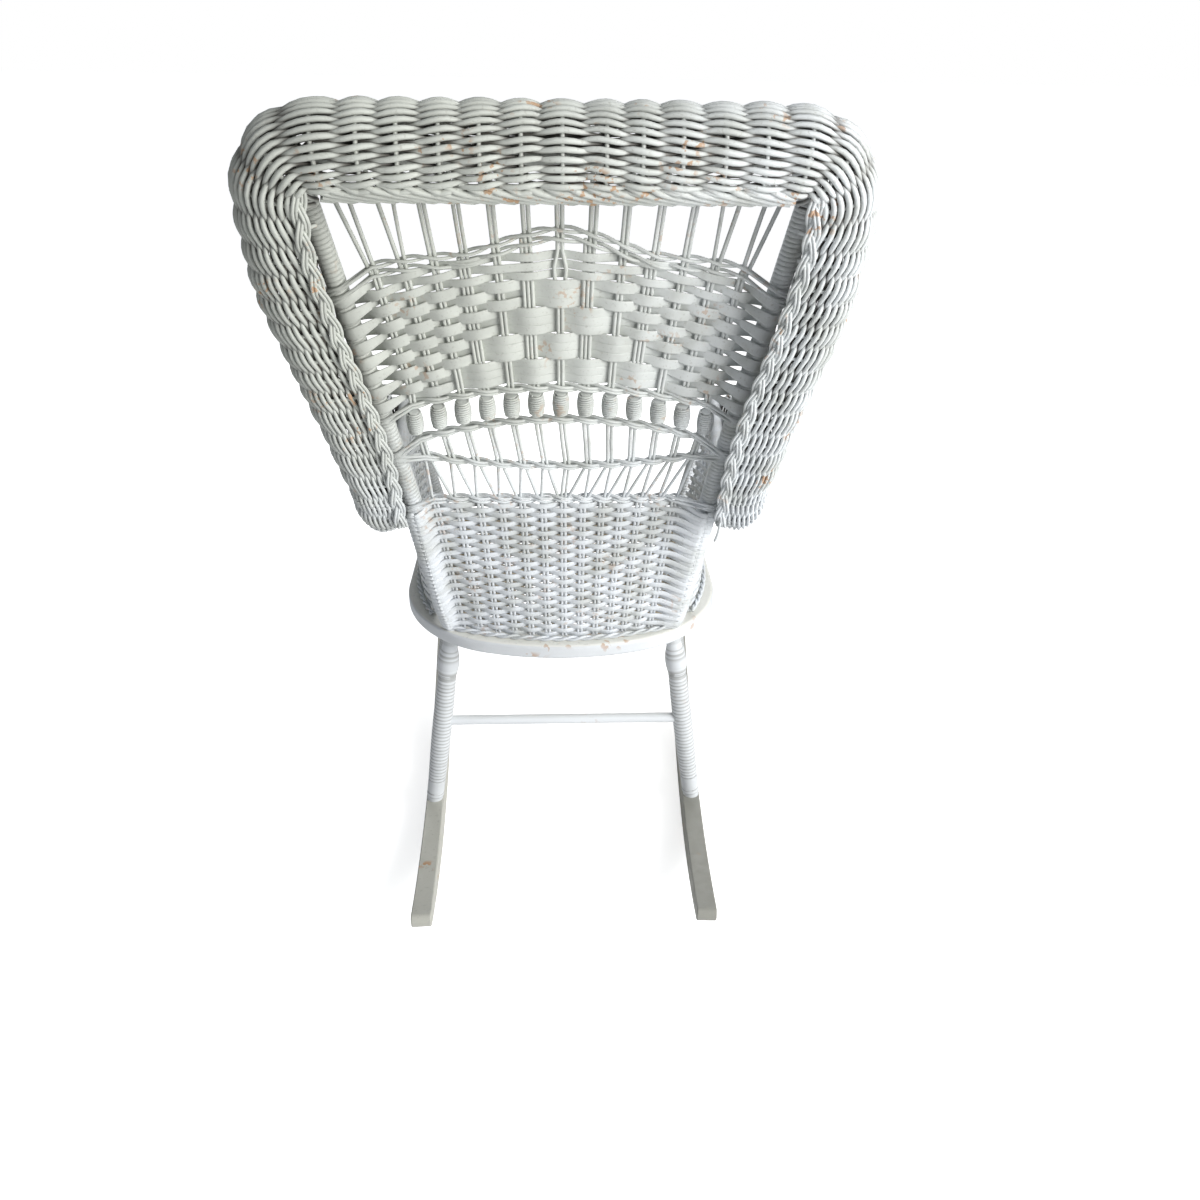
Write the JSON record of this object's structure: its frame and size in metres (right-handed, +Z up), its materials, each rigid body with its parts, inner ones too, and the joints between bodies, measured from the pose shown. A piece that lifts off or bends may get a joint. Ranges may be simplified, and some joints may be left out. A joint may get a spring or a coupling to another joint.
{
  "type": "rocking chair",
  "caption": "Painted wicker rocking chair with a rolled high back, openwork beads and spokes, woven arms, turned legs and wooden rockers.",
  "frame": {"origin": "on the floor under the middle of the rockers' length and of the chair's width", "axes": "+Z up, +Y to the rear, +X to the sitter's left; the chair faces -Y"},
  "size_m": [0.624, 0.7672, 1.049],
  "materials": {
    "painted_wood": "worn white paint",
    "rocker_wood": "worn white paint",
    "painted_pole": "worn white paint",
    "binding": "worn white paint",
    "woven_roll": "worn white paint",
    "braid": "worn white paint",
    "rail": "worn white paint",
    "spoke": "worn white paint",
    "woven_panel": "worn white paint",
    "bead": "worn white paint",
    "cane": "worn cane"
  },
  "bodies": {
    "root": {"seat_frame": "painted_wood", "rear_leg_left": "painted_wood", "rear_leg_right": "painted_wood", "front_leg_left": "painted_wood", "front_leg_right": "painted_wood", "rear_stretcher": "painted_wood", "front_stretcher": "painted_wood", "side_stretcher_left": "painted_wood", "side_stretcher_right": "painted_wood", "rocker_left": "rocker_wood", "rocker_right": "rocker_wood", "back_post_left": "painted_pole", "back_post_right": "painted_pole", "top_hoop_rail": "painted_pole", "arm_pole_left": "painted_pole", "arm_pole_right": "painted_pole", "post_wrap_left": "binding", "post_wrap_right": "binding", "arm_wrap_left": "binding", "arm_wrap_right": "binding", "top_roll": "woven_roll", "corner_roll_left": "woven_roll", "corner_roll_right": "woven_roll", "wing_roll_left": "woven_roll", "wing_roll_right": "woven_roll", "arm_roll_left": "woven_roll", "arm_roll_right": "woven_roll", "arm_front_left": "woven_roll", "arm_front_right": "woven_roll", "top_border": "braid", "wing_braid_left": "braid", "wing_braid_right": "braid", "arm_braid_left": "braid", "arm_braid_right": "braid", "base_border": "braid", "arch_rail": "rail", "upper_bead_rail": "rail", "lower_bead_rail": "rail", "sag_rail": "rail", "panel_top_rail": "rail", "top_spokes": "spoke", "bead_stakes": "spoke", "band_spokes": "spoke", "fan_spokes": "spoke", "splint_panel": "woven_panel", "lower_panel": "woven_panel", "side_panel_left": "woven_panel", "side_panel_right": "woven_panel", "bead_cores": "bead", "wound_beads": "bead", "seat_cane_panel": "cane", "cane_spline": "cane"}
  },
  "joints": []
}
